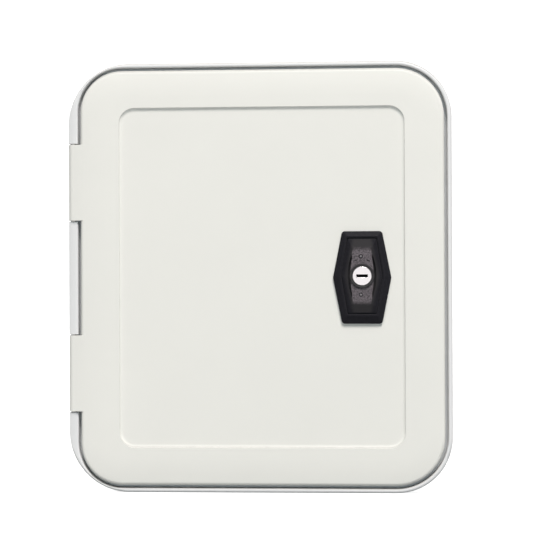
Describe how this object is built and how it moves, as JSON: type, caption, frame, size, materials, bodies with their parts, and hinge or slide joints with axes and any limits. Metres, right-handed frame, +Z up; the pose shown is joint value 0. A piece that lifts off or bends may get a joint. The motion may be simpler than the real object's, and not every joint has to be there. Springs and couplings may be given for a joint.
{
  "type": "storage hatch door",
  "caption": "Rectangular caravan storage hatch with a wall frame, a hinged foam-filled door and a hexagonal keyed lock.",
  "frame": {"origin": "middle of the frame's flange, on its back face, in the plane of the vehicle's outer wall", "axes": "+X across the hatch towards the lock side as seen from outside, +Y into the vehicle, +Z up"},
  "size_m": [0.3326, 0.0483, 0.3726],
  "materials": {
    "frame_plastic": "satin",
    "door_plastic": "satin",
    "liner_plastic": "matte",
    "foam": "matte",
    "seal_rubber": "matte",
    "lock_black": "satin",
    "lock_zinc": "satin",
    "chrome": "polished",
    "stainless": "brushed"
  },
  "bodies": {
    "frame": {"outer_frame": "frame_plastic", "wall_gasket": "seal_rubber", "door_seal": "seal_rubber", "hinge_pin_upper": "stainless", "hinge_pin_lower": "stainless", "keeper": "stainless", "keeper_screws": "stainless"},
    "door": {"door_skin": "door_plastic", "door_core": "foam", "door_liner": "liner_plastic", "liner_screws": "stainless", "lock_gasket": "seal_rubber", "lock_housing": "lock_black", "lock_collar": "lock_black", "lock_barrel": "lock_zinc", "lock_nut": "lock_zinc", "housing_screws": "stainless"},
    "lock_plug": {"key_plug": "chrome", "lock_cam": "stainless", "cam_screw": "stainless"}
  },
  "joints": [
    {"name": "door_swing", "type": "hinge", "parent": "frame", "child": "door", "pos_m": [-0.1622, -0.009, 0], "axis": [0, 0, -1], "range_deg": [0, 170]},
    {"name": "key_turn", "type": "hinge", "parent": "door", "child": "lock_plug", "pos_m": [0.089, 0, 0.0009], "axis": [0, -1, 0], "range_deg": [0, 90]}
  ]
}
